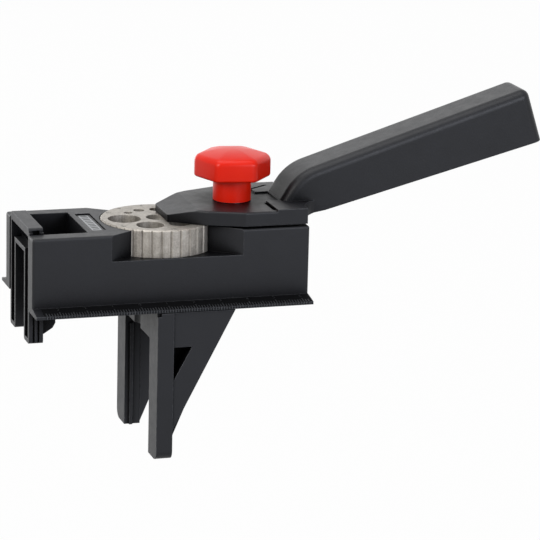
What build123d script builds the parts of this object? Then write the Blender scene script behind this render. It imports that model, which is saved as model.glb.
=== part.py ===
"""Doweling jig: a housing with a drilling turret, a sliding fence, a stop slider and a clamping lever.

The origin is on the drill axis, at the housing's base. X runs along the housing towards the handle,
Y across it and Z up. Sizes are millimetres.
"""
import os
from math import cos, degrees, pi, radians, sin, sqrt, tan

from build123d import *

os.makedirs("parts", exist_ok=True)

# Clearances
run_gap = 0.05              # round shaft in its hole, on the radius
slide_gap = 0.3             # pieces that slide or turn on each other
seat_gap = 0.1              # flat pieces stacked on each other

# Turret
bore_sizes = [12, 10, 8, 7, 6, 5, 4, 3]
bore_lands = [2.6, 2.6, 2.6, 5.0, 2.2, 2.2, 2.2, 2.2]   # land after each bore, in proportion
bore_play = 0.1             # each bore is this much wider than its drill
pitch_r = 12.2              # turret axis to the axes of the bores
turret_r = 20.6
turret_t = 11.7
turret_hole_r = 4.0
turret_edge = 0.5
flute_count = 36
flute_deep = 0.45
turret_proud = 0.5          # turret's top above the housing's top
turret_washer_t = 0.5
turret_washer_r = 7.0
pivot_sunk = 2.7            # pivot's top below the turret's top
pivot_flange_r = 5.4
pivot_flange_t = 1.2

# Housing
body_left = -38.9
body_right = 63.7
body_half = 21.9            # half the width over the side walls
body_round = 0.9
flange_half = 28.4
flange_edge_t = 1.1
flange_root_t = 2.3
slot_half = 15.5            # half the width of the slider's slot
cross_wall = 2.5
side_wall = 3.0
deck_t = 3.0
floor_t = 2.5
under_floor = 3.5           # top of the guide to the pocket floor's underside
end_wall = 3.0
guide_rib_y = 12.0
guide_rib_t = 2.0
drill_boss_r = 8.2
drill_play = 0.8            # drill passage is this much wider than the largest bore
notch_ledge = 9.5           # ledge in the finger notches, below the housing's top
notch_left = -10.1
notch_right = 38.8
notch_slant = 35.0          # notch ends lean this far from the X axis
window_left = -15.5
window_width = 5.6
window_half = 12.6
window_deep = 1.0
insert_t = 0.5

# Fence
fence_offset = 5.5          # drill axis to the fence's face
relief_play = 0.6           # relief in the fence is this much wider than the drill passage
fence_travel = 12.0
fence_depth = 55.5
leg_t = 6.0
leg_inner = 17.3
leg_round = 3.5
lintel_h = 12.0
web_t = 2.6                 # skins of the hollow webs
web_back = 0.4              # webs stand back this far from the legs' outer faces
web_reach = 22.9
web_low = 44.4              # where a web's slanted edge meets its leg, below the housing
web_window_top = 13.2
web_window_high = 12.4
web_window_wide = 6.7
web_window_in = 0.2
index_w = 1.4               # notch at the top of each leg that reads the scale
index_h = 1.2
index_deep = 1.0
leg_rib_in = 1.7
leg_rib_w = 1.2
leg_rib_out = 1.0
sole_t = 2.5                # plate that joins webs, lintel and neck
neck_half = 16.1
neck_wall = 3.0
neck_in = 2.5               # fence's face to the neck
plate_z = 6.5
plate_t = 3.0
plate_half = 18.6
plate_beyond = 7.5          # guide plate's end beyond the stud
nut_rail_w = 2.0
nut_rail_z = 0.3

# Stop slider
slider_in = 0.3             # slider's face inside the housing's end
slider_t = 5.2
slider_leg_w = 8.2
slider_outer_wall = 1.8
slider_inner_wall = 1.5
slider_web = 1.6            # closes the hollow legs on the right side and below
slider_low = 12.5
slider_proud = 2.1
bridge_t = 3.0
bridge_half = 14.2
bridge_prong_w = 1.3        # the bridge's ends are hollowed between two prongs
bridge_prong_l = 1.6
bridge_skin = 0.8
slider_rib_low = 7.9        # cross rib's underside below the housing's top
slider_rib_t = 1.6
shoe_reach = 5.7
shoe_w = 3.0
shoe_low = 11.3
shoe_toe = 6.5
shoe_top = 12.5
groove_z = 8.0
groove_h = 3.4
groove_deep = 1.6
groove_margin = 3.0         # housing's end to the closed end of the groove
leg_groove_w = 0.8
leg_groove_deep = 0.9
slider_travel = 10.0

# Detent under the turret
detent_r = 1.5
detent_track = 18.0         # turret axis to the ball
detent_gap = 0.3
detent_wire = 0.3
detent_turns = 3
detent_screw_r = 2.0
detent_screw_t = 1.6
dimple_deep = 0.6
column_wall = 2.2           # wall of the columns for detent, pivot and stud

# Lever
lever_gap = 0.3             # turret's top to the lever's underside
plate_top_t = 5.1
lever_half = 21.7
lever_tip = 13.8
lever_tip_half = 8.6
lever_bend = 26.8           # first bend of the plate's sides
lever_bend_half = 16.8
lever_flank = 39.4          # second bend, after which the sides run straight
lever_corner = 1.5
lever_end = 62.9
nose_drop = 2.5
nose_length = 10.2
ledge_x = 51.5              # raised pads on both sides of the handle's root
ledge_in = 7.0
ledge_rise = 0.6
step_slot_w = 1.1           # slot along the front pad's left face
step_slot_in = 8.0
step_slot_out = 19.6
step_slot_deep = 2.4
slant_groove_x = 54.4
slant_groove_y = 14.0
slant_groove_l = 10.4
slant_groove_w = 1.1
slant_groove_angle = 35.6
lever_round = 0.7
handle_half = 10.0
handle_root = 56.3
root_angle = 58.0
knee_r = 18.5
handle_tilt = 17.85
handle_top_x = 151.6
handle_up = 44.2            # handle's top end above the plate's underside
handle_end_h = 20.8
handle_round = 3.3
handle_corner = 3.0
belly_x = 73.4
belly_up = 1.8
flare_half = 19.6
handle_wall = 2.5
handle_hollow = 82.0        # length of the hollow from the handle's end
handle_ribs = 5
rib_t = 1.8

# Clamp screw
stud_from_turret = 28.3
stud_r = 2.95
stud_play = 0.45
stud_pitch = 1.0
stud_low = 0.4
stud_in_knob = 12.0
column_r = 6.0
spring_seat_r = 6.6
spring_seat_deep = 5.0
lift_spring_r = 5.2
lift_wire = 0.55
lift_turns = 4
coil_corners = 14           # straight stretches in a turn of a spring
bush_r = 4.6
washer_t = 0.8
washer_r = 6.2
clamp_washer_t = 1.0
clamp_washer_long = 14.0
nut_af = 10.0
nut_t = 3.2

# Knob
knob_corner_r = 14.5
knob_corner_round = 3.0
knob_stem_r = 7.0
knob_stem_h = 8.6
knob_head_h = 10.4
knob_dome_r = 52.0
knob_edge = 0.9
knob_turn = -9.6            # where a corner points at rest, in degrees

# Places that follow
turret_x = pitch_r
stud_x = turret_x + stud_from_turret
plate_top = plate_z + plate_t
guide_z = plate_top + slide_gap
floor_low = guide_z + under_floor
floor_top = floor_low + floor_t
turret_low = floor_top + turret_washer_t + 2 * seat_gap
turret_top = turret_low + turret_t
body_h = turret_top - turret_proud
pocket_r = turret_r + slide_gap
pivot_r = turret_hole_r - run_gap
pivot_top = turret_top - pivot_sunk
slot_right = body_left + slider_in + slider_t + shoe_reach + slider_travel + slide_gap
cavity_left = slot_right + cross_wall
cavity_right = body_right - end_wall
cavity_half = plate_half + slide_gap
deck_low = body_h - deck_t
drill_r = (bore_sizes[0] + drill_play) / 2
fence_right = fence_offset + leg_t
web_out = flange_half - web_back
neck_left = fence_offset + neck_in
plate_right = stud_x + plate_beyond
lever_low = turret_top + lever_gap
lever_top = lever_low + plate_top_t
ledge_top = lever_top + ledge_rise
clamp_nut_top = plate_z - 2 * seat_gap - clamp_washer_t
detent_y = detent_track
detent_hole_r = detent_r + run_gap
detent_top = turret_low - detent_gap
detent_z = detent_top - detent_r
slider_left = body_left + slider_in
slider_right = slider_left + slider_t
shoe_right = slider_right + shoe_reach
slider_top = body_h + slider_proud
slider_leg_out = slot_half - slide_gap
slider_leg_in = slider_leg_out - slider_leg_w
washer_low = lever_top - washer_t + seat_gap
knob_low = washer_low + washer_t + seat_gap
handle_tan = tan(radians(handle_tilt))

UP = (Align.CENTER, Align.CENTER, Align.MIN)


def rod(x, y, low, high, radius, mode=Mode.ADD):
    """Upright cylinder in the part being built."""
    with Locations((x, y, low)):
        Cylinder(radius, high - low, align=UP, mode=mode)


def block(x_span, y_span, z_span, mode=Mode.ADD):
    """Box between two limits on each axis, in the part being built."""
    with Locations((x_span[0], y_span[0], z_span[0])):
        Box(x_span[1] - x_span[0], y_span[1] - y_span[0], z_span[1] - z_span[0],
            align=(Align.MIN, Align.MIN, Align.MIN), mode=mode)


def both_sides(x_span, y_span, z_span, mode=Mode.ADD):
    """The same box on the front and on the back side."""
    block(x_span, y_span, z_span, mode)
    block(x_span, (-y_span[1], -y_span[0]), z_span, mode)


def bore_angles():
    """Angle of each bore about the turret's axis, in degrees; the lands share what the bores leave."""
    share = (2 * pi * pitch_r - sum(bore_sizes)) / sum(bore_lands)
    angle, angles = 180.0, []
    for size, following, land in zip(bore_sizes, bore_sizes[1:] + bore_sizes[:1], bore_lands):
        angles.append(angle)
        angle += degrees(((size + following) / 2 + share * land) / pitch_r)
    return angles


def coil(wire_r, coil_r, turns, low, high, x, y):
    """Open coil spring of thin wire round the axis at (x, y), with its wire between two heights."""
    count = turns * coil_corners
    rise = (high - low - 2 * wire_r) / count
    step = 2 * pi / coil_corners
    with BuildPart() as spring:
        with BuildLine():
            path = Polyline([(x + coil_r * cos(n * step), y + coil_r * sin(n * step),
                              low + wire_r + n * rise) for n in range(count + 1)])
        with BuildSketch(Plane(origin=path @ 0, z_dir=path % 0)):
            RegularPolygon(wire_r, 6)
        sweep(path=path, transition=Transition.RIGHT)
    return spring.part


# Housing: one moulding
with BuildPart() as housing:
    with BuildSketch():
        with Locations(((body_left + body_right) / 2, 0)):
            Rectangle(body_right - body_left, 2 * body_half)
    extrude(amount=body_h)
    fillet(housing.edges().filter_by(Axis.Z), body_round)
    fillet(housing.faces().sort_by(Axis.Z)[-1].edges(), body_round)

    # Scale flanges along both sides
    with BuildSketch(Plane.YZ.offset(body_left)):
        with BuildLine():
            Polyline((0, 0), (flange_half, 0), (flange_half, flange_edge_t),
                     (body_half, flange_root_t), (0, flange_root_t), close=True)
        make_face()
        mirror(about=Plane.YZ)
    extrude(amount=body_right - body_left)

    # Slot for the stop slider, open at the left end, with a groove in each side
    block((body_left - 1, slot_right), (-slot_half, slot_half), (-1, body_h + 1), Mode.SUBTRACT)
    both_sides((body_left + groove_margin, slot_right), (0, slot_half + groove_deep),
               (groove_z, groove_z + groove_h), Mode.SUBTRACT)

    # Hollow under the turret's floor and under the deck, with the T-shaped guide for the fence
    block((cavity_left, cavity_right), (-body_half + side_wall, body_half - side_wall),
          (guide_z, floor_low), Mode.SUBTRACT)
    block((notch_right, cavity_right), (-body_half + side_wall, body_half - side_wall),
          (guide_z, deck_low), Mode.SUBTRACT)
    block((cavity_left, body_right + 1), (-cavity_half, cavity_half),
          (plate_z - slide_gap, guide_z), Mode.SUBTRACT)
    block((cavity_left, body_right + 1), (-neck_half - slide_gap, neck_half + slide_gap),
          (-1, plate_z), Mode.SUBTRACT)

    # Ribs that hold the guide plate down, and columns for drill, pivot, detent and stud
    guide_rib = (guide_rib_y, guide_rib_y + guide_rib_t)
    both_sides((drill_boss_r, cavity_right), guide_rib, (guide_z, floor_low + 1))
    both_sides((notch_right - 1, cavity_right), guide_rib, (guide_z, deck_low + 1))
    rod(0, 0, 0, floor_top, drill_boss_r)
    rod(turret_x, 0, guide_z, floor_top, pivot_flange_r + column_wall)
    rod(turret_x, detent_y, guide_z, floor_top, detent_screw_r + column_wall)
    rod(stud_x, 0, guide_z, body_h - 1, column_r)
    rod(stud_x, 0, body_h - spring_seat_deep - floor_t, body_h - 1, spring_seat_r + column_wall)

    # Turret pocket, and the finger notches that open it to both sides
    rod(turret_x, 0, floor_top, body_h + 1, pocket_r, Mode.SUBTRACT)
    notch_run = (body_half - turret_r / 2) / tan(radians(notch_slant))
    with BuildSketch(Plane.XY.offset(body_h - notch_ledge)):
        with BuildLine():
            Polyline((notch_left, body_half), (notch_left + notch_run, turret_r / 2),
                     (notch_right - notch_run, turret_r / 2), (notch_right, body_half),
                     (notch_right, body_half + 1), (notch_left, body_half + 1), close=True)
        make_face()
        mirror(about=Plane.XZ)
    extrude(amount=body_h, mode=Mode.SUBTRACT)

    # Holes for drill, pivot, detent and stud, the seat of the lift spring, and the scale window
    rod(0, 0, -1, body_h, drill_r, Mode.SUBTRACT)
    rod(turret_x, 0, 0, floor_top + 1, pivot_r + seat_gap / 5, Mode.SUBTRACT)
    rod(turret_x, 0, 0, guide_z + pivot_flange_t + seat_gap, pivot_flange_r + seat_gap, Mode.SUBTRACT)
    rod(turret_x, detent_y, 0, floor_top + 1, detent_hole_r, Mode.SUBTRACT)
    rod(turret_x, detent_y, 0, guide_z + detent_screw_t + seat_gap, detent_screw_r, Mode.SUBTRACT)
    rod(stud_x, 0, 0, body_h + 1, stud_r + stud_play, Mode.SUBTRACT)
    rod(stud_x, 0, body_h - spring_seat_deep, body_h + 1, spring_seat_r, Mode.SUBTRACT)
    block((window_left, window_left + window_width), (-window_half, window_half),
          (body_h - window_deep, body_h + 1), Mode.SUBTRACT)
housing.part.label = "housing"

# Printed strip that lies in the scale window
with BuildPart() as scale_insert:
    block((window_left + seat_gap, window_left + window_width - seat_gap),
          (-window_half + seat_gap, window_half - seat_gap),
          (body_h - window_deep, body_h - window_deep + insert_t))
scale_insert.part.label = "scale_insert"

# Fence: one moulding of two legs, lintel, webs, sole, neck and guide plate
sole_z = -slide_gap
with BuildPart() as fence:
    with BuildSketch(Plane.YZ.offset(fence_offset)):
        with BuildLine():
            Polyline((0, sole_z), (flange_half, sole_z), (flange_half, -fence_depth),
                     (leg_inner, -fence_depth), (leg_inner, -lintel_h), (0, -lintel_h), close=True)
        make_face()
        foot = vertices().sort_by(SortBy.DISTANCE)[-1]
        fillet(foot, leg_round)
        mirror(about=Plane.YZ)
    extrude(amount=leg_t)

    # Webs behind the legs: hollow, open at the top, with a three-cornered window in the outer skin
    web_lean = web_reach / (web_low + sole_z)
    core_in = web_t * sqrt(1 + web_lean ** 2)
    window_x = fence_right + web_window_in
    for side in (1, -1):
        with BuildSketch(Plane.XZ.offset(-side * leg_inner)):
            with BuildLine():
                Polyline((fence_right - 1, sole_z), (fence_right + web_reach, sole_z),
                         (fence_right, -web_low), (fence_right - 1, -web_low), close=True)
            make_face()
        extrude(amount=-side * (web_out - leg_inner))
        with BuildSketch(Plane.XZ.offset(-side * (leg_inner + web_t))):
            with BuildLine():
                core_right = fence_right + web_reach + web_lean - core_in
                Polyline((fence_right, sole_z + 1), (core_right, sole_z + 1),
                         (fence_right, core_in / web_lean - web_low), close=True)
            make_face()
        extrude(amount=-side * (web_out - leg_inner - 2 * web_t), mode=Mode.SUBTRACT)
        with BuildSketch(Plane.XZ.offset(-side * (web_out + 1))):
            with BuildLine():
                Polyline((window_x, -web_window_top), (window_x + web_window_wide, -web_window_top),
                         (window_x, -web_window_top - web_window_high), close=True)
            make_face()
        extrude(amount=side * (web_t + 2), mode=Mode.SUBTRACT)
    both_sides((fence_offset, fence_offset + index_w), (flange_half - index_deep, flange_half + 1),
               (sole_z - index_h, sole_z), Mode.SUBTRACT)

    # Rib up the inner side of each leg
    both_sides((fence_offset + leg_rib_in, fence_offset + leg_rib_in + leg_rib_w),
               (leg_inner - leg_rib_out, leg_inner), (-fence_depth, -lintel_h - 4))

    # Sole, neck and guide plate, with a slot for the stud and two rails for the nut
    block((fence_offset, fence_right + web_reach), (-leg_inner - web_t, leg_inner + web_t),
          (sole_z - sole_t, sole_z))
    both_sides((neck_left, plate_right), (neck_half - neck_wall, neck_half), (sole_z, plate_z))
    block((neck_left, plate_right), (-plate_half, plate_half), (plate_z, plate_top))
    nut_slot = nut_af / 2 + seat_gap
    both_sides((stud_x - fence_travel - nut_af, plate_right), (nut_slot, nut_slot + nut_rail_w),
               (nut_rail_z, plate_z))
    block((fence_right + 4, fence_right + web_reach + 1), (-nut_slot - nut_rail_w, nut_slot + nut_rail_w),
          (sole_z - sole_t - 1, sole_z + 1), Mode.SUBTRACT)
    # Round relief in the lintel's face, so that the widest drill runs past it
    rod(0, 0, -lintel_h - 1, sole_z + 1, drill_r + relief_play, Mode.SUBTRACT)
    with BuildSketch(Plane.XY.offset(plate_z)):
        with Locations((stud_x - fence_travel / 2, 0)):
            SlotCenterToCenter(fence_travel, 2 * (stud_r + stud_play))
    extrude(amount=plate_t, mode=Mode.SUBTRACT)
fence.part.label = "fence"

# Stop slider: two legs, top bridge, cross rib and two shoes
with BuildPart() as stop_slider:
    rib_top = body_h - slider_rib_low + slider_rib_t
    bridge_low = slider_top - bridge_t
    both_sides((slider_left, slider_right), (slider_leg_in, slider_leg_out),
               (-slider_low, bridge_low + bridge_t / 2))
    fillet(stop_slider.edges().filter_by(Axis.X).group_by(Axis.Z)[0], 1.2)
    both_sides((slider_left - 1, slider_right - slider_web),
               (slider_leg_in + slider_inner_wall, slider_leg_out - slider_outer_wall),
               (slider_web - slider_low, bridge_low), Mode.SUBTRACT)
    both_sides((slider_left - 1, slider_right + 1), (0, slider_leg_out - slider_outer_wall),
               (rib_top, bridge_low), Mode.SUBTRACT)
    block((slider_left, slider_right), (-bridge_half, bridge_half), (bridge_low, slider_top))
    fillet(stop_slider.faces().sort_by(Axis.Z)[-1].edges().filter_by(Axis.X), 1.0)
    rib_half = slider_leg_in + slider_inner_wall
    block((slider_left, slider_right - slider_web), (-rib_half, rib_half), (rib_top - slider_rib_t, rib_top))
    for side in (1, -1):
        with BuildSketch(Plane.XZ.offset(-side * slider_leg_in)):
            with BuildLine():
                Polyline((slider_right - 1, -shoe_low), (slider_right, -shoe_low),
                         (shoe_right - 1, -shoe_toe - 1.8), (shoe_right, -shoe_toe),
                         (shoe_right, shoe_top), (slider_right - 1, shoe_top), close=True)
            make_face()
        extrude(amount=-side * shoe_w)
    both_sides((slider_right - 1, shoe_right),
               (slider_leg_in + shoe_w, slot_half + groove_deep - slide_gap),
               (groove_z + slide_gap, groove_z + groove_h - slide_gap))
    both_sides((slider_left + bridge_prong_w, slider_right - bridge_prong_w),
               (bridge_half - bridge_prong_l, slot_half), (bridge_low, slider_top - bridge_skin),
               Mode.SUBTRACT)
    for step in (1, 2):
        groove_x = slider_left + slider_t * step / 3 - leg_groove_w / 2
        both_sides((groove_x, groove_x + leg_groove_w),
                   (slider_leg_out - leg_groove_deep, slider_leg_out + 1),
                   (-slider_low - 1, bridge_low), Mode.SUBTRACT)
stop_slider.part.label = "stop_slider"

# Turret: one sintered disc
with BuildPart() as turret:
    rod(turret_x, 0, turret_low, turret_top, turret_r)
    chamfer(turret.edges().filter_by(GeomType.CIRCLE), turret_edge)
    with BuildSketch(Plane.XY.offset(turret_low)):
        with Locations((turret_x, 0)):
            Circle(turret_hole_r)
            with PolarLocations(turret_r, flute_count):
                RegularPolygon(flute_deep, 4)
        for size, angle in zip(bore_sizes, bore_angles()):
            spot = radians(angle)
            with Locations((turret_x + pitch_r * cos(spot), pitch_r * sin(spot))):
                Circle((size + bore_play) / 2)
    extrude(amount=turret_t, mode=Mode.SUBTRACT)
    for angle in bore_angles():
        spot = radians(angle - 90)
        with Locations((turret_x + detent_track * cos(spot), detent_track * sin(spot), turret_low)):
            Cone(2 * dimple_deep, 0, dimple_deep, align=UP, mode=Mode.SUBTRACT)
turret.part.label = "turret"

# Flanged pin that the turret turns on, and the washer below the turret
with BuildPart() as turret_pivot:
    rod(turret_x, 0, guide_z + seat_gap, guide_z + seat_gap + pivot_flange_t - seat_gap, pivot_flange_r)
    rod(turret_x, 0, guide_z + seat_gap, pivot_top, pivot_r)
    chamfer(turret_pivot.faces().sort_by(Axis.Z)[-1].edges(), 0.5)
turret_pivot.part.label = "turret_pivot"

with BuildPart() as turret_washer:
    rod(turret_x, 0, floor_top + seat_gap, floor_top + seat_gap + turret_washer_t, turret_washer_r)
    rod(turret_x, 0, floor_top, turret_low, turret_hole_r + run_gap, Mode.SUBTRACT)
turret_washer.part.label = "turret_washer"

# Click stop: ball, spring and grub screw
with BuildPart() as detent_ball:
    with Locations((turret_x, detent_y, detent_z)):
        Sphere(detent_r)
detent_ball.part.label = "detent_ball"

detent_screw_low = guide_z
detent_screw_top = guide_z + detent_screw_t
with BuildPart() as detent_screw:
    rod(turret_x, detent_y, detent_screw_low, detent_screw_top, detent_screw_r - run_gap)
    with BuildSketch(Plane.XY.offset(detent_screw_low)):
        with Locations((turret_x, detent_y)):
            RegularPolygon(detent_screw_r / 2, 6)
    extrude(amount=detent_screw_t / 2, mode=Mode.SUBTRACT)
detent_screw.part.label = "detent_screw"

detent_spring = coil(detent_wire / 2, detent_r - detent_wire, detent_turns, detent_screw_top + seat_gap,
                     detent_z - detent_r - seat_gap, turret_x, detent_y)
detent_spring.label = "detent_spring"


# Handle: it rises from the plate at a steep root and is hollow from below
handle_top_z = lever_low + handle_up
belly_z = lever_low + belly_up
foot_x = handle_root - plate_top_t / tan(radians(root_angle))
knee_x = (handle_top_z - handle_top_x * handle_tan - lever_top
          + handle_root * tan(radians(root_angle))) / (tan(radians(root_angle)) - handle_tan)
knee_z = handle_top_z - (handle_top_x - knee_x) * handle_tan
heel_x = handle_top_x + handle_end_h * sin(radians(handle_tilt))
heel_z = handle_top_z - handle_end_h * cos(radians(handle_tilt))
with BuildPart() as handle:
    with BuildSketch(Plane.XZ):
        with BuildLine():
            FilletPolyline((foot_x, lever_low), (knee_x, knee_z), (handle_top_x, handle_top_z),
                           (heel_x, heel_z), radius=(knee_r, handle_corner))
            Polyline((heel_x, heel_z), (belly_x, belly_z), (lever_end, lever_low), (foot_x, lever_low))
        make_face()
    extrude(amount=handle_half, both=True)
    long_edges = handle.faces().filter_by(Axis.Y).edges().filter_by_position(Axis.Z, lever_top, handle_top_z)
    fillet(long_edges.filter_by(lambda edge: edge.center().Z > belly_z + (edge.center().X - belly_x) * 0.45),
           handle_round)
    pocket = (handle_hollow - (handle_ribs + 1) * rib_t) / handle_ribs
    along = Plane(origin=(handle_top_x, 0, handle_top_z),
                  x_dir=(1, 0, handle_tan), z_dir=(0, -1, 0))
    with BuildSketch(along):
        for count in range(handle_ribs):
            with Locations((-handle_wall - count * (pocket + rib_t), -handle_wall)):
                Rectangle(pocket, 3 * handle_end_h, align=(Align.MAX, Align.MAX))
    extrude(amount=handle_half - handle_wall, both=True, mode=Mode.SUBTRACT)

# Lever: boat-shaped plate, ledge and handle, one moulding
with BuildPart() as clamp_lever:
    with BuildSketch(Plane.XY.offset(lever_low)):
        with BuildLine():
            Polyline((lever_end, lever_half), (lever_end, 0), (lever_tip, 0),
                     (lever_tip, lever_tip_half - 1))
            FilletPolyline((lever_tip, lever_tip_half - 1), (lever_tip, lever_tip_half),
                           (lever_bend, lever_bend_half), (lever_flank, lever_half), (lever_end, lever_half),
                           radius=lever_corner)
        make_face()
        mirror(about=Plane.XZ)
    extrude(amount=plate_top_t)
    fillet(clamp_lever.faces().sort_by(Axis.Z)[-1].edges(), lever_round)
    with BuildSketch(Plane.XZ):
        with BuildLine():
            Polyline((lever_tip - 1, lever_top - nose_drop * (1 + 1 / nose_length)),
                     (lever_tip + nose_length, lever_top), (lever_tip - 1, lever_top), close=True)
        make_face()
    extrude(amount=lever_half, both=True, mode=Mode.SUBTRACT)

    # Pads, and the flare that leads into the handle
    with BuildSketch(Plane.XY.offset(lever_low)):
        with BuildLine():
            Polyline((ledge_x, ledge_in), (ledge_x, lever_half), (lever_end, lever_half),
                     (lever_end, flare_half))
            TangentArc((lever_end, flare_half), (belly_x, handle_half - 1), tangent=(0, -1))
            Polyline((belly_x, handle_half - 1), (belly_x, 0), (handle_root, 0), (handle_root, ledge_in),
                     (ledge_x, ledge_in))
        make_face()
        mirror(about=Plane.XZ)
    extrude(amount=plate_top_t + ledge_rise)
    with BuildSketch(Plane.XZ):
        with BuildLine():
            Polyline((lever_end, lever_low), (belly_x, belly_z), (belly_x + 1, belly_z),
                     (belly_x + 1, lever_low - 1), (lever_end, lever_low - 1), close=True)
        make_face()
    extrude(amount=lever_half, both=True, mode=Mode.SUBTRACT)
    add(handle.part)
    block((ledge_x - step_slot_w, ledge_x), (-step_slot_out, -step_slot_in),
          (lever_top - step_slot_deep, ledge_top), Mode.SUBTRACT)
    with Locations(Location((slant_groove_x, slant_groove_y, lever_top), (0, 0, slant_groove_angle))):
        Box(slant_groove_l, slant_groove_w, 2 * slant_groove_w, mode=Mode.SUBTRACT)
    rod(stud_x, 0, lever_low - 1, lever_top + 1, bush_r, Mode.SUBTRACT)
    rod(stud_x, 0, washer_low - seat_gap, lever_top + 1, washer_r + slide_gap, Mode.SUBTRACT)
clamp_lever.part.label = "clamp_lever"

# Sleeve in the lever's bore
with BuildPart() as lever_bush:
    rod(stud_x, 0, lever_low, washer_low - 2 * seat_gap, bush_r - run_gap / 2)
    rod(stud_x, 0, lever_low - 1, lever_top, stud_r + 2 * run_gap, Mode.SUBTRACT)
lever_bush.part.label = "lever_bush"

# Spring that lifts the slack lever
lift_spring = coil(lift_wire, lift_spring_r, lift_turns, body_h - spring_seat_deep + seat_gap,
                   lever_low - seat_gap, stud_x, 0)
lift_spring.label = "lift_spring"

# Washers and nut on the stud
with BuildPart() as knob_washer:
    rod(stud_x, 0, washer_low, washer_low + washer_t, washer_r)
    rod(stud_x, 0, washer_low - 1, washer_low + washer_t + 1, stud_r + 2 * run_gap, Mode.SUBTRACT)
knob_washer.part.label = "knob_washer"

with BuildPart() as clamp_washer:
    block((stud_x - clamp_washer_long / 2, stud_x + clamp_washer_long / 2), (-nut_af / 2, nut_af / 2),
          (plate_z - seat_gap - clamp_washer_t, plate_z - seat_gap))
    rod(stud_x, 0, 0, plate_z, stud_r + 2 * run_gap, Mode.SUBTRACT)
clamp_washer.part.label = "clamp_washer"

with BuildPart() as clamp_nut:
    with BuildSketch(Plane.XY.offset(clamp_nut_top - nut_t)):
        with Locations((stud_x, 0)):
            RegularPolygon(nut_af / 2, 6, major_radius=False)
            Circle(stud_r + run_gap, mode=Mode.SUBTRACT)
    extrude(amount=nut_t)
clamp_nut.part.label = "clamp_nut"

# Knob: rounded hexagon with a domed top, on a round stem, and the screw moulded into it
head_low = knob_low + knob_stem_h
knob_apex = head_low + knob_head_h
with BuildPart() as knob:
    with BuildSketch(Plane.XY.offset(head_low)):
        with Locations((stud_x, 0)):
            RegularPolygon(knob_corner_r, 6, rotation=knob_turn)
        fillet(vertices(), knob_corner_round)
    extrude(amount=knob_head_h)
    with Locations((stud_x, 0, knob_apex - knob_dome_r)):
        Sphere(knob_dome_r, mode=Mode.INTERSECT)
    chamfer(knob.faces().sort_by(Axis.Z)[-1].edges(), knob_edge)
    chamfer(knob.faces().sort_by(Axis.Z)[0].edges(), knob_edge)
    rod(stud_x, 0, knob_low, head_low + 1, knob_stem_r)
    rod(stud_x, 0, knob_low - 1, knob_low + stud_in_knob + seat_gap, stud_r + run_gap, Mode.SUBTRACT)
knob.part.label = "knob"

with BuildPart() as knob_stud:
    rod(stud_x, 0, stud_low, knob_low + stud_in_knob, stud_r)
    chamfer(knob_stud.edges().sort_by(Axis.Z)[0], stud_pitch / 2)
knob_stud.part.label = "knob_stud"

pieces = [housing.part, scale_insert.part, fence.part, stop_slider.part, turret.part, turret_pivot.part,
          turret_washer.part, detent_ball.part, detent_screw.part, detent_spring, clamp_lever.part,
          lever_bush.part, lift_spring, knob_washer.part, clamp_washer.part, clamp_nut.part,
          knob.part, knob_stud.part]
for piece in pieces:
    export_step(piece, f"parts/{piece.label}.step")
    box = piece.bounding_box()
    print(f"{piece.label}: {len(piece.solids())} solid, {piece.volume:.0f} mm3,",
          f"Z {box.min.Z:.1f} to {box.max.Z:.1f}")
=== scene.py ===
# %% [markdown]
# # A doweling jig
# The jig is a black moulded housing that carries a steel drilling turret, a sliding fence, a stop
# slider and a clamping lever with a red knob. The CAD model gives every part its shape and place.
# This script gives the parts their finishes, and adds what is too fine for the CAD model.

# %% Load the frame
from math import cos, pi, radians, sin, sqrt, tau

import bmesh
import bpy
from mathutils import Matrix, Vector


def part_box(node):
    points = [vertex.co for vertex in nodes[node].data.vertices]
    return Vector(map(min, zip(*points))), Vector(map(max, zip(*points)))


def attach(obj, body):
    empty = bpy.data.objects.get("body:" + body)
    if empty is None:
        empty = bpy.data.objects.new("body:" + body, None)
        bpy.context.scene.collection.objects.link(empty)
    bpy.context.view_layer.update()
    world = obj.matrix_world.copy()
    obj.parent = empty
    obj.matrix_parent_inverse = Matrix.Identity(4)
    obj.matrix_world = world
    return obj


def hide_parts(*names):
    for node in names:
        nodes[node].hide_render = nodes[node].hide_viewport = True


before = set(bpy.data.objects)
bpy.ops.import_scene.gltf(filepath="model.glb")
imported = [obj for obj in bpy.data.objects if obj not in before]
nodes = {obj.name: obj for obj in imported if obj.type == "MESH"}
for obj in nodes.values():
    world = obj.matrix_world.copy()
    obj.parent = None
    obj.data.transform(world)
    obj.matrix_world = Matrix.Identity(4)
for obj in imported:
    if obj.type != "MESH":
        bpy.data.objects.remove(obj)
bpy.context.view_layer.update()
mm = 0.001

# %% [markdown]
# ## Camera
# The photograph looks a little down on the jig from its front left, through a long lens. The camera
# is set from three angles, a distance and one picture point, which shows a spot on the base close
# under the turret's axis.

# %% Camera
frame_px = 540
lens_px = 3000
turret_foot_px = (154.3, 292.1)
azimuth, elevation, roll = radians(-17.61), radians(14.71), radians(1.45)
distance = 1.0973
turret_foot = Vector((0.0117, 0, 0))

back = Vector((sin(azimuth) * cos(elevation), -cos(azimuth) * cos(elevation), sin(elevation)))
level = Vector((cos(azimuth), sin(azimuth), 0))
upright = back.cross(level)
right = cos(roll) * level + sin(roll) * upright
up = cos(roll) * upright - sin(roll) * level
across = (turret_foot_px[0] - frame_px / 2) / lens_px * distance
above = (frame_px / 2 - turret_foot_px[1]) / lens_px * distance
eye = turret_foot + back * distance - right * across - up * above

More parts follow.
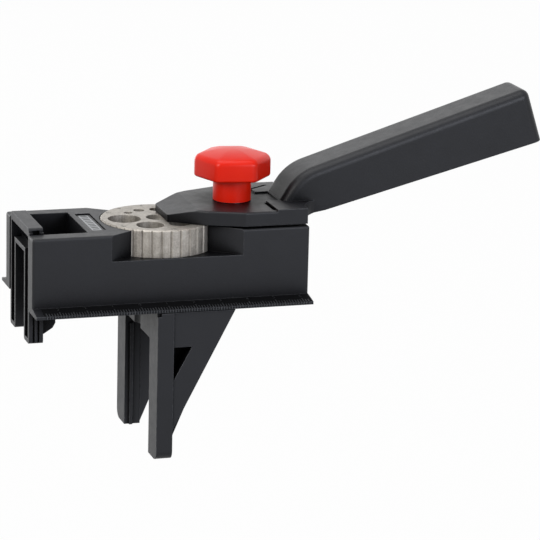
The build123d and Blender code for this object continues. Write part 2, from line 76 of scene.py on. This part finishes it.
camera_data = bpy.data.cameras.new("camera")
camera_data.sensor_width = 36
camera_data.lens = lens_px * camera_data.sensor_width / frame_px
camera = bpy.data.objects.new("camera", camera_data)
camera.matrix_world = Matrix.Translation(eye) @ Matrix((right, up, back)).transposed().to_4x4()
bpy.context.scene.collection.objects.link(camera)
bpy.context.scene.camera = camera
print(f"camera {eye.length:.2f} m away, lens {camera_data.lens:.0f} mm")

# %% [markdown]
# ## Node helpers
# A colour is written as an sRGB hex value, the way a paint shop gives it, and Blender wants linear
# light. One small function adds a node, and a material is then a short list of such calls.


# %% Helpers for colours, nodes and materials
def linear(hex_colour):
    """The linear colour that a shader wants, from an sRGB hex value."""
    channels = [int(hex_colour[start:start + 2], 16) / 255 for start in (1, 3, 5)]
    return [c / 12.92 if c <= 0.04045 else ((c + 0.055) / 1.055) ** 2.4 for c in channels] + [1.0]


def add_node(tree, kind, inputs=None, **settings):
    """Adds a node; each input gets a value, or a link from another node's socket."""
    node = tree.nodes.new(kind)
    for name, value in settings.items():
        setattr(node, name, value)
    for name, value in (inputs or {}).items():
        if isinstance(value, bpy.types.NodeSocket):
            tree.links.new(value, node.inputs[name])
        else:
            node.inputs[name].default_value = value
    return node


def new_material(name, **surface):
    """A material with one Principled shader; surface sets its sockets."""
    material = bpy.data.materials.new(name)
    material.use_nodes = True
    tree = material.node_tree
    shader = tree.nodes["Principled BSDF"]
    for socket, value in surface.items():
        shader.inputs[socket.replace("_", " ")].default_value = value
    return material, tree, shader


def object_noise(tree, size_mm, detail=2.0, roughness=0.5, squeeze=(1, 1, 1)):
    """Noise whose blotches are about size_mm across on the object, squeezed along the axes."""
    place = add_node(tree, "ShaderNodeTexCoord").outputs["Object"]
    scaled = add_node(tree, "ShaderNodeMapping", {"Vector": place, "Scale": squeeze}).outputs["Vector"]
    steps = {"Vector": scaled, "Scale": 1 / (size_mm * mm), "Detail": detail, "Roughness": roughness}
    return add_node(tree, "ShaderNodeTexNoise", steps).outputs["Fac"]


def spread(tree, factor, low, high):
    """Maps the middle of a noise to the range from low to high."""
    steps = {"Value": factor, "From Min": 0.3, "From Max": 0.7, "To Min": low, "To Max": high}
    return add_node(tree, "ShaderNodeMapRange", steps).outputs["Result"]


def between(tree, factor, first, second):
    """A colour that runs from the first hex value to the second with the factor."""
    ramp = add_node(tree, "ShaderNodeValToRGB", {"Fac": factor})
    ramp.color_ramp.elements[0].color = linear(first)
    ramp.color_ramp.elements[1].color = linear(second)
    return ramp.outputs["Color"]


def relief(tree, height, deep_mm, strength, edge_mm):
    """A normal with rounded edges and a fine relief on top."""
    edge = add_node(tree, "ShaderNodeBevel", {"Radius": edge_mm * mm}, samples=6).outputs["Normal"]
    steps = {"Height": height, "Strength": strength, "Distance": deep_mm * mm, "Normal": edge}
    return add_node(tree, "ShaderNodeBump", steps).outputs["Normal"]


print("white is", linear("#FFFFFF")[:3])

# %% [markdown]
# ## Glass-filled nylon
# Housing, fence, slider and lever are moulded in black glass-filled nylon. The mould was spark
# eroded, so the faces have a fine, even grain that spreads every reflection wide. Moulding leaves
# the tone a little uneven over a few centimetres. Corners are never quite sharp, and handling rubs
# them pale. A narrow bevel in the shader catches light along each edge and lightens its tone, in
# hollow corners too: partly wear, partly a painted highlight. In the narrow pockets the tone and
# sheen fall off with the ambient occlusion, which is painted shade.


# %% Glass-filled nylon, spark-eroded
# Wear and painted highlight: this factor lightens convex edges and hollow corners alike
def edge_wear(tree, edge_mm, low, high):
    """Zero on a flat face, and between low and high along its edges, broken up by noise."""
    rounded = add_node(tree, "ShaderNodeBevel", {"Radius": edge_mm * mm}, samples=6).outputs["Normal"]
    flat = add_node(tree, "ShaderNodeNewGeometry").outputs["Normal"]
    # The rounded normal and the flat one agree on a flat face and part along an edge
    alike = add_node(tree, "ShaderNodeVectorMath", {0: rounded, 1: flat}, operation="DOT_PRODUCT")
    steps = {"Value": alike.outputs["Value"], "From Min": 0.995, "From Max": 0.90}
    edge = add_node(tree, "ShaderNodeMapRange", steps).outputs["Result"]
    broken = spread(tree, object_noise(tree, size_mm=1.2, detail=4), low, high)
    return add_node(tree, "ShaderNodeMath", {0: edge, 1: broken}, operation="MULTIPLY").outputs["Value"]


def openness(tree, reach_mm):
    """One on an open face, and near zero at the bottom of a narrow pocket."""
    free = add_node(tree, "ShaderNodeAmbientOcclusion", {"Distance": reach_mm * mm}, samples=6)
    steps = {"Value": free.outputs["AO"], "From Min": 0.5, "From Max": 0.92}
    return add_node(tree, "ShaderNodeMapRange", steps).outputs["Result"]


def blend(tree, factor, first, second):
    """A colour between two others, each a hex value or another node's socket."""
    first, second = (linear(c) if isinstance(c, str) else c for c in (first, second))
    mix = add_node(tree, "ShaderNodeMixRGB", {"Fac": factor, "Color1": first, "Color2": second})
    return mix.outputs["Color"]


# Painted shade: the near-black colour that narrow pockets are darkened to
painted_pocket_shade = "#050506"


def moulded_nylon(name, dark, light, roughness, grain_mm, worn_and_lit="#5A5C60", shine=0.24):
    """Black nylon with an even grain, drawn coarser than the real 0.1 mm so that it shows."""
    material, tree, shader = new_material(name, IOR=1.50)
    clouds = object_noise(tree, size_mm=14, detail=5, roughness=0.65)
    # Edges are lightened towards a paler colour: partly wear, partly a painted highlight
    wear_and_highlight = edge_wear(tree, edge_mm=0.45, low=0.1, high=0.9)
    rubbed_and_lit = blend(tree, wear_and_highlight, between(tree, clouds, dark, light), worn_and_lit)
    # Painted shade: with the ambient occlusion, pockets run to near black and their specular level drops
    free = openness(tree, reach_mm=28)
    tree.links.new(blend(tree, free, painted_pocket_shade, rubbed_and_lit), shader.inputs["Base Color"])
    sheen_with_painted_shade = add_node(tree, "ShaderNodeMapRange", {"Value": free, "To Min": 0.04, "To Max": shine})
    tree.links.new(sheen_with_painted_shade.outputs["Result"], shader.inputs["Specular IOR Level"])
    streaks = object_noise(tree, size_mm=4, detail=5, roughness=0.7)
    satin = spread(tree, streaks, roughness - 0.05, roughness + 0.05)
    tree.links.new(satin, shader.inputs["Roughness"])
    grain = object_noise(tree, size_mm=grain_mm, detail=3, roughness=0.65)
    skin = relief(tree, grain, deep_mm=0.06, strength=0.55, edge_mm=0.5)
    tree.links.new(skin, shader.inputs["Normal"])
    return material


housing_nylon = moulded_nylon("nylon_spark_eroded", "#191A1D", "#222327", 0.46, grain_mm=0.8)
lever_nylon = moulded_nylon("nylon_lever_satin", "#17181B", "#202125", 0.40, grain_mm=0.6)
# Painted shade: a darker, duller copy of the nylon for the flanges' sloping band
band_nylon_painted_shade = moulded_nylon("nylon_deep_grain_painted_shade", "#08090A", "#0D0E10", 0.75, grain_mm=0.5, worn_and_lit="#1C1D20",
                           shine=0.06)
# Painted highlight: a paler copy of the nylon for the raised ruler lines
pale_nylon_painted_highlight = moulded_nylon("nylon_painted_highlight", "#26282B", "#3A3C40", 0.50, grain_mm=0.5)
print("nylon:", housing_nylon.name, lever_nylon.name, band_nylon_painted_shade.name, pale_nylon_painted_highlight.name)

# %% [markdown]
# ## Sintered steel
# The turret is pressed from iron powder and sintered. Its skin is pale warm grey, finely pitted and
# not polished, with darker pores. The press leaves drag marks that run up the flutes.


# %% Sintered steel
def sintered_steel():
    """Pressed powder steel: rough metal with pores, drawn at 0.6 mm so that they show."""
    material, tree, shader = new_material("steel_sintered", Metallic=0.7)
    blotches = object_noise(tree, size_mm=3.5, detail=5, roughness=0.7)
    pores = object_noise(tree, size_mm=0.6, detail=4, roughness=0.7)
    drags = object_noise(tree, size_mm=0.9, detail=3, roughness=0.6, squeeze=(1, 1, 0.04))
    # The three noises add up to about 1.5 on average
    mixed = add_node(tree, "ShaderNodeMath", {0: blotches, 1: pores}, operation="ADD").outputs["Value"]
    whole = add_node(tree, "ShaderNodeMath", {0: mixed, 1: drags}, operation="ADD").outputs["Value"]
    tone = add_node(tree, "ShaderNodeMapRange", {"Value": whole, "From Min": 1.0, "From Max": 1.95})
    tree.links.new(between(tree, tone.outputs["Result"], "#6F6A64", "#B3AEA6"), shader.inputs["Base Color"])
    tree.links.new(spread(tree, pores, 0.40, 0.58), shader.inputs["Roughness"])
    skin = relief(tree, pores, deep_mm=0.05, strength=0.4, edge_mm=0.2)
    tree.links.new(skin, shader.inputs["Normal"])
    return material


turret_steel = sintered_steel()
print("steel:", turret_steel.name)

# %% [markdown]
# ## Turned and plated steel
# Pin, stud, nut, washers, bush and ball are bright plated steel. Plating is smooth, with a faint
# cloudy tone. The springs, and the screw under the click stop, are dark and oiled.


# %% Zinc-plated steel and spring wire
def plated_steel(name, dark, light, roughness):
    """Plain metal with a cloudy tone a few millimetres across."""
    material, tree, shader = new_material(name, Metallic=1.0)
    clouds = object_noise(tree, size_mm=3, detail=3)
    tree.links.new(between(tree, clouds, dark, light), shader.inputs["Base Color"])
    tree.links.new(spread(tree, clouds, roughness - 0.06, roughness + 0.08), shader.inputs["Roughness"])
    return material


zinc = plated_steel("steel_zinc_plated", "#A9ACB0", "#D5D7DA", 0.28)
wire = plated_steel("spring_wire_oiled", "#55575B", "#85878C", 0.35)
print("plated:", zinc.name, wire.name)

# %% [markdown]
# ## Red knob plastic
# The knob is injection-moulded ABS from a polished mould: a strong orange-red with a soft gloss and
# the slight waviness that moulded plastic always has.


# %% Polished red ABS
def polished_red():
    """Softly glossy plastic; its waves are 6 mm long and a few hundredths of a millimetre high."""
    material, tree, shader = new_material("abs_polished_red", IOR=1.54, Specular_IOR_Level=0.2)
    clouds = object_noise(tree, size_mm=12, detail=2)
    tree.links.new(between(tree, clouds, "#DA1B07", "#E6250B"), shader.inputs["Base Color"])
    shader.inputs["Roughness"].default_value = 0.34
    shader.inputs["Subsurface Weight"].default_value = 0.05
    shader.inputs["Subsurface Scale"].default_value = 0.0015
    shader.inputs["Subsurface Radius"].default_value = (1.0, 0.25, 0.15)
    waves = object_noise(tree, size_mm=6, detail=1)
    steps = {"Height": waves, "Strength": 0.25, "Distance": 0.08 * mm}
    tree.links.new(add_node(tree, "ShaderNodeBump", steps).outputs["Normal"], shader.inputs["Normal"])
    return material


red_abs = polished_red()
print("knob plastic:", red_abs.name)

# %% [markdown]
# ## Printed strip
# The strip in the window beside the turret is grey plastic with print. Its print here is a plain
# row of dark bars, worked out from the position along the strip. The dark border around it is
# painted shade from the rim of the strip's recess.


# %% Printed polystyrene strip
def compare(tree, value, limit, operation):
    """One where the value is above or below the limit, and zero elsewhere."""
    return add_node(tree, "ShaderNodeMath", {0: value, 1: limit}, operation=operation).outputs["Value"]


def both(tree, first, second):
    """The product of two masks, which is one where both are one."""
    return add_node(tree, "ShaderNodeMath", {0: first, 1: second}, operation="MULTIPLY").outputs["Value"]


def inside(tree, axes, low, high, margin):
    """One on the strip's field, inside a margin, and zero on its border."""
    across = both(tree, compare(tree, axes["X"], low.x + margin, "GREATER_THAN"),
                  compare(tree, axes["X"], high.x - margin, "LESS_THAN"))
    along = both(tree, compare(tree, axes["Y"], low.y + margin, "GREATER_THAN"),
                 compare(tree, axes["Y"], high.y - margin, "LESS_THAN"))
    return both(tree, across, along)


def printed_strip():
    """Grey field in a dark border of painted shade, with a row of dark bars along Y."""
    material, tree, shader = new_material("polystyrene_printed", Roughness=0.5)
    low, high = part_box("scale_insert")
    place = add_node(tree, "ShaderNodeTexCoord").outputs["Object"]
    axes = add_node(tree, "ShaderNodeSeparateXYZ", {"Vector": place}).outputs
    pitch, bar, shade_border, ink_margin = 2.4 * mm, 1.3 * mm, 0.9 * mm, 1.5 * mm
    turn = add_node(tree, "ShaderNodeMath", {0: axes["Y"], 1: pitch, 2: 0.0}, operation="WRAP")
    on_bar = compare(tree, turn.outputs["Value"], bar, "LESS_THAN")
    ink = both(tree, inside(tree, axes, low, high, ink_margin), on_bar)
    # Painted shade: the dark border stands for the shade at the rim of the strip's recess
    field = blend(tree, inside(tree, axes, low, high, shade_border), "#1A1B1D", "#94979A")
    tree.links.new(blend(tree, ink, field, "#161719"), shader.inputs["Base Color"])
    return material


strip_print = printed_strip()
print("print:", strip_print.name)

# %% [markdown]
# ## Finishes of the CAD parts
# Every CAD part keeps its own mesh and gets its material. Only the knob has a new shape further down.

# %% Give the CAD parts their materials
finishes = {
    housing_nylon: ["housing", "fence", "stop_slider"],
    lever_nylon: ["clamp_lever"],
    turret_steel: ["turret"],
    zinc: ["turret_pivot", "turret_washer", "detent_ball", "lever_bush", "knob_washer", "clamp_washer",
           "clamp_nut", "knob_stud"],
    wire: ["detent_spring", "detent_screw", "lift_spring"],
    red_abs: ["knob"],
    strip_print: ["scale_insert"],
}
for material, names in finishes.items():
    for name in names:
        mesh = nodes[name].data
        mesh.materials.clear()
        mesh.materials.append(material)
print("finished", sum(len(names) for names in finishes.values()), "CAD parts")

# %% [markdown]
# ## From bmesh to a piece
# Each new piece is shaped in a bmesh, in metres and in its own place, and then becomes an object at
# the origin that rides on one body of the jig.


# %% Helpers that finish a piece
def finish_piece(name, shape, material, body, smooth_angle=None):
    """Turns a bmesh into an object that rides on a body."""
    bmesh.ops.recalc_face_normals(shape, faces=shape.faces)
    mesh = bpy.data.meshes.new(name)
    shape.to_mesh(mesh)
    shape.free()
    mesh.materials.append(material)
    piece = bpy.data.objects.new(name, mesh)
    bpy.context.scene.collection.objects.link(piece)
    if smooth_angle is not None:
        mesh.shade_smooth()
        mesh.set_sharp_from_angle(angle=radians(smooth_angle))
    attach(piece, body)
    print(f"{name}: {len(mesh.polygons)} faces on {body}")
    return piece


def extrude_faces(shape, faces, travel):
    """Pulls faces out along a vector, with walls behind them."""
    raised = bmesh.ops.extrude_face_region(shape, geom=faces)["geom"]
    raised = [part for part in raised if isinstance(part, bmesh.types.BMVert)]
    bmesh.ops.translate(shape, vec=travel, verts=raised)


def add_bar(shape, centre, size, turn=None):
    """Adds a small box to a bmesh; turn is a rotation about its own centre."""
    place = Matrix.Translation(centre) @ (turn or Matrix()).to_4x4() @ Matrix.Diagonal((*size, 1))
    bmesh.ops.create_cube(shape, size=1, matrix=place)


# %% [markdown]
# ## Knob
# The CAD knob has plain chamfers. The moulded one is rounder: a hexagon with soft corners, a domed
# top and a wide round where the sides meet the dome. A six-cornered disc gets its corners bevelled
# and is extruded, its two rims are bevelled, and the top is bent down like the cap of a sphere.

# %% Knob with soft edges
knob_low, knob_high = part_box("knob")
stud_low, stud_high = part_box("knob_stud")
knob_axis = (stud_low + stud_high) / 2
corner_r, corner_soft = 14.5 * mm, 3.0 * mm
corner_turn = radians(-9.6)
stem_r, stem_h = 7.0 * mm, 8.6 * mm
dome_r, top_soft, low_soft = 38 * mm, 1.8 * mm, 1.0 * mm
head_low = knob_low.z + stem_h
dome_from = head_low + 4 * mm    # what lies above this height is bent down
dome_rings = 7
stem_in_head = 1 * mm


def flat_face(shape, up):
    """The face that looks straight up, or straight down where up is -1."""
    shape.faces.ensure_lookup_table()
    shape.normal_update()
    return max(shape.faces, key=lambda face: (face.normal.z * up, face.calc_area()))


def knob_head():
    """The head, with soft rims, as a bmesh."""
    shape = bmesh.new()
    turn = Matrix.Rotation(corner_turn + pi / 6, 4, "Z")    # a circle's first corner is on the Y axis
    place = Matrix.Translation((knob_axis.x, knob_axis.y, head_low)) @ turn
    bmesh.ops.create_circle(shape, segments=6, radius=corner_r, cap_ends=True, matrix=place)
    bmesh.ops.bevel(shape, geom=shape.verts[:], offset=corner_soft / sqrt(3), segments=6, profile=0.5,
                    affect="VERTICES", material=-1)
    extrude_faces(shape, shape.faces[:], (0, 0, knob_high.z - head_low))
    bmesh.ops.recalc_face_normals(shape, faces=shape.faces)
    for up, soft in ((1, top_soft), (-1, low_soft)):
        rim = flat_face(shape, up).edges[:]
        bmesh.ops.bevel(shape, geom=rim, offset=soft, segments=6, profile=0.5, affect="EDGES", material=-1)
    return shape


def add_dome(shape):
    """Rings inside the head's top, then the whole rim and top bent down to a sphere."""
    for ring in range(dome_rings):
        top = flat_face(shape, 1)
        inner = bmesh.ops.inset_region(shape, faces=[top], thickness=0.0)
        centre = Vector((knob_axis.x, knob_axis.y, knob_high.z))
        shrink = (dome_rings - ring - 0.5) / (dome_rings - ring + 0.5)
        bmesh.ops.scale(shape, vec=(shrink, shrink, 1), verts=top.verts, space=Matrix.Translation(-centre))
    for vert in shape.verts:
        if vert.co.z > dome_from:
            out = (vert.co.xy - knob_axis.xy).length
            vert.co.z -= dome_r - sqrt(dome_r ** 2 - out ** 2)


shape = knob_head()
add_dome(shape)
stem_rise = stem_h + stem_in_head
stem_place = Matrix.Translation((knob_axis.x, knob_axis.y, knob_low.z + stem_rise / 2))
bmesh.ops.create_cone(shape, cap_ends=True, segments=64, radius1=stem_r, radius2=stem_r, depth=stem_rise,
                      matrix=stem_place)
knob_skin = finish_piece("knob_skin", shape, red_abs, "knob", smooth_angle=35)
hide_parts("knob")

# %% [markdown]
# ## Inner skins of the fence's webs
# In the photograph the far leg's web runs down to the foot, while the near leg's outer skin ends
# higher up. So the inner skin of each hollow web gets a thin three-cornered piece down to the foot.

# %% Inner skins
fence_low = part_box("fence")[0]
leg_right, skin_in, skin_t = 11.5 * mm, 17.2 * mm, 2.6 * mm
skin_root = leg_right - 0.2 * mm
foot_gap = 1.0 * mm
skin_top = Vector((34.3 * mm, 0, -0.5 * mm))
skin_foot = Vector((leg_right, 0, fence_low.z + foot_gap))


def add_skin(shape, side):
    """A three-cornered plate against the inner side of one web."""
    inner = side * skin_in
    corners = [(skin_root, skin_top.z), (skin_top.x, skin_top.z), (skin_foot.x, skin_foot.z),
               (skin_root, skin_foot.z)]
    verts = [shape.verts.new((x, inner, z)) for x, z in corners]
    extrude_faces(shape, [shape.faces.new(verts)], (0, side * skin_t, 0))


shape = bmesh.new()
for side in (1, -1):
    add_skin(shape, side)
finish_piece("fence_inner_skins", shape, housing_nylon, "fence")

# %% [markdown]
# ## Ruled flanges
# Both flanges carry a millimetre scale that counts from the drill axis. The sloping top is a band of
# deep, dull grain in a darker copy of the nylon, which is painted shade. The lines are raised ribs
# that run down it and over the flange's edge, in a paler copy of the nylon, which is a painted
# highlight, so they read as fine teeth. They are thin boxes, set by one loop.

# %% Ruler lines along both flanges
housing_low, housing_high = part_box("housing")
flange_root, flange_edge = Vector((0, -21.9 * mm, 2.3 * mm)), Vector((0, -28.4 * mm, 1.1 * mm))
slope = (flange_edge - flange_root).normalized()
slope_turn = Vector((0, -1, 0)).rotation_difference(slope).to_matrix()
line_wide, line_proud = 0.42 * mm, 0.24 * mm
band_proud, band_margin = 0.06 * mm, 0.35 * mm
line_length = {1: 1.8 * mm, 5: 2.3 * mm, 10: 2.8 * mm}
plain_left, plain_right = 3.0 * mm, 1.0 * mm
edge_margin = 0.05 * mm


def grain_flange(name, side):
    """The dull band of one flange, darkened as painted shade; side is 1 for the front and -1 for the back.
    """
    shape = bmesh.new()
    left, right = housing_low.x + plain_left, housing_high.x - band_margin
    middle = (flange_root + flange_edge) / 2
    middle.x = (left + right) / 2
    wide = (flange_edge - flange_root).length - 2 * band_margin
    add_bar(shape, middle, (right - left, wide, 2 * band_proud), slope_turn)
    if side < 0:
        bmesh.ops.scale(shape, vec=(1, -1, 1), verts=shape.verts)
    finish_piece(name, shape, band_nylon_painted_shade, "base")


def rule_flange(name, side):
    """Lines of one flange, each longer at 5 and 10 mm."""
    shape = bmesh.new()
    first = int((housing_low.x + plain_left) / mm)
    last = int((housing_high.x - plain_right) / mm)
    for number in range(first, last + 1):
        step = 10 if number % 10 == 0 else 5 if number % 5 == 0 else 1
        length = line_length[step]
        middle = flange_edge - slope * (length / 2)
        middle.x = number * mm
        add_bar(shape, middle, (line_wide, length, 2 * line_proud), slope_turn)
        edge = Vector((number * mm, flange_edge.y, flange_edge.z / 2))
        add_bar(shape, edge, (line_wide, 2 * line_proud, flange_edge.z - 2 * edge_margin))
    if side < 0:
        bmesh.ops.scale(shape, vec=(1, -1, 1), verts=shape.verts)
    finish_piece(name, shape, pale_nylon_painted_highlight, "base")


for side, place in ((1, "front"), (-1, "back")):
    grain_flange(f"ruler_band_{place}", side)
    rule_flange(f"ruler_lines_{place}", side)

# %% [markdown]
# ## Plain numbers
# The scale has a number at each centimetre, and the turret has each bore's size beside the bore.
# Blender's text object makes them. It is turned into a mesh, and only then put in place. Meshes of
# several numbers are joined, so that each scale is one piece.

# %% Helpers for numbers
size_per_height = 1.4    # the font's size against the height of its figures


def number_mesh(text, height, depth):
    """A bmesh of figures, centred on the origin and facing up."""
    curve = bpy.data.curves.new("figures", "FONT")
    curve.body = text
    curve.size = height * size_per_height
    curve.extrude = depth / 2
    curve.resolution_u = 3
    curve.align_x, curve.align_y = "CENTER", "CENTER"
    writer = bpy.data.objects.new("figures", curve)
    bpy.context.scene.collection.objects.link(writer)
    mesh = bpy.data.meshes.new_from_object(writer.evaluated_get(bpy.context.evaluated_depsgraph_get()))
    shape = bmesh.new()
    shape.from_mesh(mesh)
    bpy.data.objects.remove(writer)
    bpy.data.curves.remove(curve)
    bpy.data.meshes.remove(mesh)
    return shape


def join_shapes(shapes):
    """One bmesh with the content of several."""
    whole = bmesh.new()
    for shape in shapes:
        mesh = bpy.data.meshes.new("part")
        shape.to_mesh(mesh)
        shape.free()
        whole.from_mesh(mesh)
        bpy.data.meshes.remove(mesh)
    return whole


# %% [markdown]
# ## Centimetre numbers
# The numbers count from the drill axis to both sides. They are moulded with the flange, low and as
# dark as the wall, so they show only as small marks at the top of the band.

# %% Centimetre numbers on both flanges
figure_height = 1.7 * mm
figure_proud = 0.12 * mm
figure_down = 1.6 * mm


def number_flange(name, side):
    """Numbers of one flange; they face outwards on both."""
    figures = []
    for centimetre in range(-3, 7):
        shape = number_mesh(str(abs(centimetre)), figure_height, 2 * figure_proud)
        spot = flange_root + slope * figure_down
        bmesh.ops.transform(shape, matrix=Matrix.Translation(spot) @ slope_turn.to_4x4(), verts=shape.verts)
        if side < 0:
            bmesh.ops.rotate(shape, matrix=Matrix.Rotation(pi, 3, "Z"), verts=shape.verts)
        bmesh.ops.translate(shape, vec=(centimetre * 10 * mm, 0, 0), verts=shape.verts)
        figures.append(shape)
    finish_piece(name, join_shapes(figures), housing_nylon, "base")


number_flange("ruler_numbers_front", 1)
number_flange("ruler_numbers_back", -1)

# %% [markdown]
# ## Bore sizes on the turret
# Each bore's size is stamped beside it. Stamped figures are dark, because dirt and oil stay in them,
# so they are thin dark inlays almost level with the steel.


# %% Bore sizes stamped on the turret
def stamp_ink():
    """The dark oil film in a stamped figure."""
    material, tree, shader = new_material("oil_in_stamping", Roughness=0.5)
    tone = object_noise(tree, size_mm=0.8)
    tree.links.new(between(tree, tone, "#2E2B28", "#4A4641"), shader.inputs["Base Color"])
    return material


turret_low, turret_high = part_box("turret")
turret_axis = (turret_low + turret_high) / 2
pitch_radius = turret_axis.x
turret_radius = (turret_high.x - turret_low.x) / 2
bore_sizes = [12, 10, 8, 7, 6, 5, 4, 3]
bore_lands = [2.6, 2.6, 2.6, 5.0, 2.2, 2.2, 2.2, 2.2]
stamp_height, stamp_depth, stamp_in = 1.8 * mm, 0.06 * mm, 1.9 * mm
# The lands share what the bores leave of their circle. On the one wide land a figure keeps to its bore
widest_land = 2.6
share = (tau * pitch_radius / mm - sum(bore_sizes)) / sum(bore_lands)
stamps = []
angle = pi
for size, following, land in zip(bore_sizes, bore_sizes[1:] + bore_sizes[:1], bore_lands):
    beside = angle + (size + share * min(land, widest_land)) / 2 * mm / pitch_radius
    shape = number_mesh(str(size), stamp_height, stamp_depth)
    top_middle = Matrix.Translation((turret_axis.x, turret_axis.y, turret_high.z))
    outwards = Matrix.Rotation(beside, 4, "Z") @ Matrix.Translation((turret_radius - stamp_in, 0, 0))
    spot = top_middle @ outwards @ Matrix.Rotation(pi / 2, 4, "Z")
    bmesh.ops.transform(shape, matrix=spot, verts=shape.verts)
    stamps.append(shape)
    angle += ((size + following) / 2 + share * land) * mm / pitch_radius
finish_piece("turret_numbers", join_shapes(stamps), stamp_ink(), "turret")

# %% [markdown]
# ## Studio
# The jig hangs in a pale studio. One soft light stands overhead and a wide one behind, so that the
# upper faces shine. A small key light gives the knob its highlight from the upper left, a front light
# fills the walls, and a low one behind on the left catches the narrow end faces. The world gives a
# little base light. What the camera sees behind the jig is white, and so is what mirrors in the jig.

# %% Floor, world and lights
floor_white, floor_glow = 0.94, 1.04    # how much white the camera sees, and how bright


def straight_or_mirrored(tree):
    """One for what the camera sees straight, in a mirror image or through glass."""
    path = add_node(tree, "ShaderNodeLightPath").outputs
    rays = {0: path["Is Camera Ray"], 1: path["Is Glossy Ray"]}
    straight_or_glossy = add_node(tree, "ShaderNodeMath", rays, operation="MAXIMUM").outputs["Value"]
    rays = {0: straight_or_glossy, 1: path["Is Transmission Ray"]}
    return add_node(tree, "ShaderNodeMath", rays, operation="MAXIMUM").outputs["Value"]


def pale_floor():
    """Matt pale floor that turns nearly white for the camera, and keeps a trace of the shadow."""
    material, tree, shader = new_material("floor_pale", Base_Color=linear("#777777"), Roughness=0.9)
    share_seen = both(tree, straight_or_mirrored(tree), floor_white)
    white = add_node(tree, "ShaderNodeEmission", {"Color": linear("#FFFFFF"), "Strength": floor_glow})
    mix = add_node(tree, "ShaderNodeMixShader", {0: share_seen, 1: shader.outputs["BSDF"],
                                                 2: white.outputs["Emission"]})
    tree.links.new(mix.outputs["Shader"], tree.nodes["Material Output"].inputs["Surface"])
    return material


floor_drop, floor_half = 0.12, 4
shape = bmesh.new()
bmesh.ops.create_grid(shape, x_segments=1, y_segments=1, size=floor_half,
                      matrix=Matrix.Translation((0, 0, fence_low.z - floor_drop)))
floor_mesh = bpy.data.meshes.new("floor")
shape.to_mesh(floor_mesh)
shape.free()
floor_mesh.materials.append(pale_floor())
floor = bpy.data.objects.new("floor", floor_mesh)
bpy.context.scene.collection.objects.link(floor)

base_light = 0.02
world = bpy.data.worlds.new("studio")
bpy.context.scene.world = world
world.use_nodes = True
world_tree = world.node_tree
seen = straight_or_mirrored(world_tree)
strength = add_node(world_tree, "ShaderNodeMapRange", {"Value": seen, "To Min": base_light, "To Max": 1.0})
background = world_tree.nodes["Background"]
world_tree.links.new(strength.outputs["Result"], background.inputs["Strength"])
background.inputs["Color"].default_value = linear("#FFFFFF")


def soft_light(name, place, target, width, height, watts, tint="#FFFFFF"):
    """A rectangular soft box that faces its target."""
    data = bpy.data.lights.new(name, "AREA")
    data.shape = "RECTANGLE"
    data.size, data.size_y = width, height
    data.energy = watts
    data.color = linear(tint)[:3]
    light = bpy.data.objects.new(name, data)
    direction = Vector(target) - Vector(place)
    light.matrix_world = Matrix.Translation(place) @ direction.to_track_quat("-Z", "Y").to_matrix().to_4x4()
    bpy.context.scene.collection.objects.link(light)


jig_middle = (0.05, 0, 0.02)
soft_light("overhead", (-0.1, -0.1, 0.9), jig_middle, width=0.9, height=0.6, watts=5)
soft_light("behind", (0.2, 1.4, 0.5), jig_middle, width=3.0, height=1.3, watts=5)
soft_light("key", (-0.95, -0.65, 0.6), jig_middle, width=0.5, height=0.5, watts=9, tint="#FFFBF6")
soft_light("front", (0.6, -1.3, 0.40), jig_middle, width=0.9, height=0.5, watts=11, tint="#EEF3FF")
soft_light("left", (-0.45, 1.35, -0.02), jig_middle, width=1.0, height=0.25, watts=3)

# %% [markdown]
# ## View settings
# The Standard view transform shows colours as they are written.


bpy.context.scene.view_settings.view_transform = "Standard"
